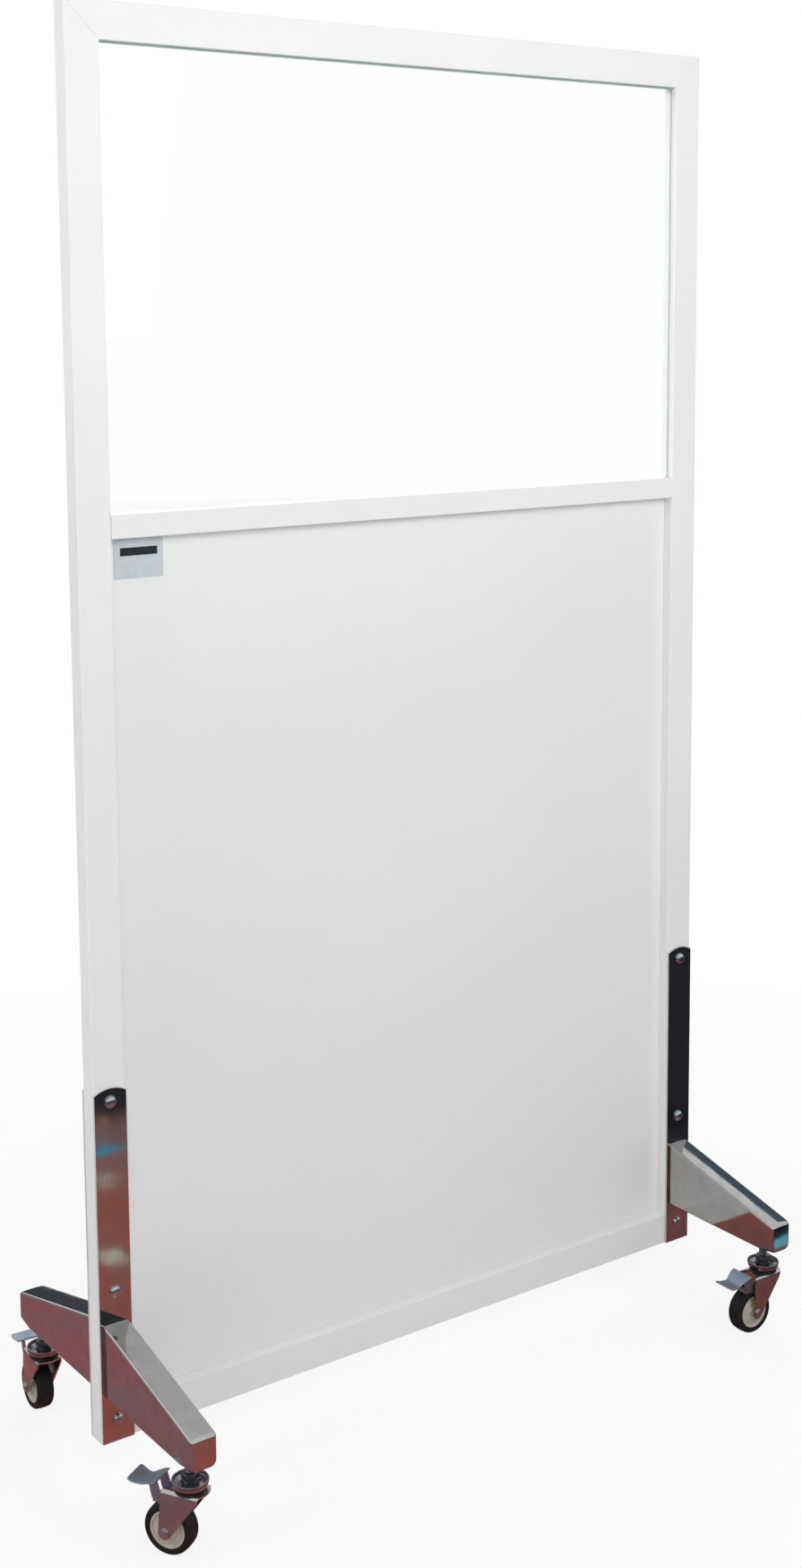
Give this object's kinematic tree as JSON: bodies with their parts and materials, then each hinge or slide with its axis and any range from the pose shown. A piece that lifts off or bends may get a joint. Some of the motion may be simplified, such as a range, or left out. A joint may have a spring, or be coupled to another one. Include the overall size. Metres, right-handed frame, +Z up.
{
  "type": "rolling partition",
  "caption": "Rolling protective partition: white frame, clear upper pane, solid sandwich panel below, polished wedge feet with bolted plates, braked swivel casters.",
  "frame": {"origin": "middle of the bounding box of the whole object, on the floor", "axes": "+X to the right along the panel as seen from the front, +Y to the back, through the panel, +Z up"},
  "size_m": [1.0656, 0.5102, 1.828],
  "materials": {
    "white_coat": "smooth satin powder coat",
    "clear_pane": "clear, polished",
    "seal_rubber": "matt, grey-green",
    "lead_sheet": "dull grey sheet, hidden between the skins",
    "label_foil": "blank foil plate with a plain dark band",
    "polished_steel": "mirror-polished stainless sheet",
    "zinc_steel": "bright zinc plate, slightly blue",
    "dark_seal": "near-black ring",
    "tyre_rubber": "matt black",
    "hub_plastic": "cream"
  },
  "bodies": {
    "partition": {"left_stile": "white_coat", "right_stile": "white_coat", "top_rail": "white_coat", "bottom_rail": "white_coat", "mid_rail": "white_coat", "window_pane": "clear_pane", "window_seal": "seal_rubber", "window_bead": "white_coat", "panel_front_skin": "white_coat", "panel_lead_core": "lead_sheet", "panel_back_skin": "white_coat", "panel_spacer": "white_coat", "panel_bead": "white_coat", "label_plate": "label_foil", "foot_bolt_left_low": "zinc_steel", "foot_bolt_left_middle": "zinc_steel", "foot_bolt_left_high": "zinc_steel", "foot_bolt_right_low": "zinc_steel", "foot_bolt_right_middle": "zinc_steel", "foot_bolt_right_high": "zinc_steel", "foot_plate_front_left": "polished_steel", "foot_leg_front_left": "polished_steel", "caster_stem_front_left": "zinc_steel", "caster_cup_front_left": "polished_steel", "foot_plate_front_right": "polished_steel", "foot_leg_front_right": "polished_steel", "caster_stem_front_right": "zinc_steel", "caster_cup_front_right": "polished_steel", "foot_plate_rear_left": "polished_steel", "foot_leg_rear_left": "polished_steel", "caster_stem_rear_left": "zinc_steel", "caster_cup_rear_left": "polished_steel", "foot_plate_rear_right": "polished_steel", "foot_leg_rear_right": "polished_steel", "caster_stem_rear_right": "zinc_steel", "caster_cup_rear_right": "polished_steel"},
    "swivel_front_left": {"caster_fork_front_left": "polished_steel", "caster_bearing_front_left": "dark_seal", "caster_axle_front_left": "zinc_steel"},
    "wheel_front_left": {"caster_tyre_front_left": "tyre_rubber", "caster_hub_front_left": "hub_plastic"},
    "pedal_front_left": {"brake_pedal_front_left": "zinc_steel"},
    "swivel_front_right": {"caster_fork_front_right": "polished_steel", "caster_bearing_front_right": "dark_seal", "caster_axle_front_right": "zinc_steel"},
    "wheel_front_right": {"caster_tyre_front_right": "tyre_rubber", "caster_hub_front_right": "hub_plastic"},
    "pedal_front_right": {"brake_pedal_front_right": "zinc_steel"},
    "swivel_rear_left": {"caster_fork_rear_left": "polished_steel", "caster_bearing_rear_left": "dark_seal", "caster_axle_rear_left": "zinc_steel"},
    "wheel_rear_left": {"caster_tyre_rear_left": "tyre_rubber", "caster_hub_rear_left": "hub_plastic"},
    "pedal_rear_left": {"brake_pedal_rear_left": "zinc_steel"},
    "swivel_rear_right": {"caster_fork_rear_right": "polished_steel", "caster_bearing_rear_right": "dark_seal", "caster_axle_rear_right": "zinc_steel"},
    "wheel_rear_right": {"caster_tyre_rear_right": "tyre_rubber", "caster_hub_rear_right": "hub_plastic"},
    "pedal_rear_right": {"brake_pedal_rear_right": "zinc_steel"}
  },
  "joints": [
    {"name": "swivel_turn_front_left", "type": "hinge", "parent": "partition", "child": "swivel_front_left", "pos_m": [-0.4775, -0.22005, 0.084], "axis": [0, 0, 1], "continuous": true},
    {"name": "wheel_spin_front_left", "type": "hinge", "parent": "swivel_front_left", "child": "wheel_front_left", "pos_m": [-0.49141, -0.19691, 0.0325], "axis": [-0.8572, -0.515, 0], "continuous": true},
    {"name": "brake_press_front_left", "type": "hinge", "parent": "swivel_front_left", "child": "pedal_front_left", "pos_m": [-0.49089, -0.19776, 0.072], "axis": [-0.8572, -0.515, 0], "range_deg": [0, 8]},
    {"name": "swivel_turn_front_right", "type": "hinge", "parent": "partition", "child": "swivel_front_right", "pos_m": [0.4775, -0.22005, 0.084], "axis": [0, 0, 1], "continuous": true},
    {"name": "wheel_spin_front_right", "type": "hinge", "parent": "swivel_front_right", "child": "wheel_front_right", "pos_m": [0.4505, -0.22005, 0.0325], "axis": [0, -1, 0], "continuous": true},
    {"name": "brake_press_front_right", "type": "hinge", "parent": "swivel_front_right", "child": "pedal_front_right", "pos_m": [0.4515, -0.22005, 0.072], "axis": [0, -1, 0], "range_deg": [-8, 0]},
    {"name": "swivel_turn_rear_left", "type": "hinge", "parent": "partition", "child": "swivel_rear_left", "pos_m": [-0.4775, 0.17395, 0.084], "axis": [0, 0, 1], "continuous": true},
    {"name": "wheel_spin_rear_left", "type": "hinge", "parent": "swivel_rear_left", "child": "wheel_rear_left", "pos_m": [-0.47562, 0.20089, 0.0325], "axis": [-0.9976, 0.0698, 0], "continuous": true},
    {"name": "brake_press_rear_left", "type": "hinge", "parent": "swivel_rear_left", "child": "pedal_rear_left", "pos_m": [-0.47569, 0.19989, 0.072], "axis": [-0.9976, 0.0698, 0], "range_deg": [-8, 0]},
    {"name": "swivel_turn_rear_right", "type": "hinge", "parent": "partition", "child": "swivel_rear_right", "pos_m": [0.4775, 0.17395, 0.084], "axis": [0, 0, 1], "continuous": true},
    {"name": "wheel_spin_rear_right", "type": "hinge", "parent": "swivel_rear_right", "child": "wheel_rear_right", "pos_m": [0.49141, 0.19709, 0.0325], "axis": [-0.8572, 0.515, 0], "continuous": true},
    {"name": "brake_press_rear_right", "type": "hinge", "parent": "swivel_rear_right", "child": "pedal_rear_right", "pos_m": [0.49089, 0.19624, 0.072], "axis": [-0.8572, 0.515, 0], "range_deg": [0, 8]}
  ]
}
